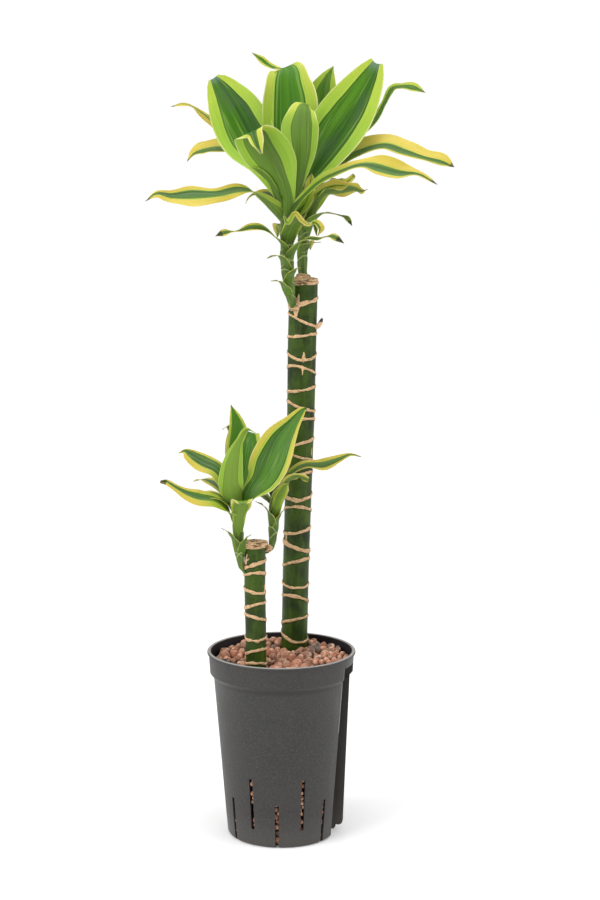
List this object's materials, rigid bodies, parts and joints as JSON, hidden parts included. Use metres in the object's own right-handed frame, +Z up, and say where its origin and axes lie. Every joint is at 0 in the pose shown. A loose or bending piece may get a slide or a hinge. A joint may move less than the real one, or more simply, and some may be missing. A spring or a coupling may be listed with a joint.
{
  "type": "potted corn plant",
  "caption": "Variegated corn plant with a tall and a short cut cane, leafy shoots near their tops, in a round slotted culture pot filled with expanded clay.",
  "frame": {"origin": "centre of the pot's flat underside, on the surface that the pot stands on", "axes": "+Z up, front (the side the picture shows) towards -Y, the water-gauge channel towards +X"},
  "size_m": [0.3036, 0.2598, 0.7884],
  "materials": {
    "pot": "fine satin dark grey moulded plastic",
    "clay": "rough porous fired clay pebbles, reddish brown",
    "cane": "smooth green bark with tan ring scars and tan cut caps",
    "leaves": "satin leaf with a dark green middle and lime to golden yellow edges"
  },
  "bodies": {
    "root": {"pot": "pot", "clay_bed": "clay", "cane_tall": "cane", "cane_short": "cane", "shoot_tall_left": "leaves", "shoot_tall_right": "leaves", "shoot_short_left": "leaves", "shoot_short_right": "leaves"}
  },
  "joints": []
}
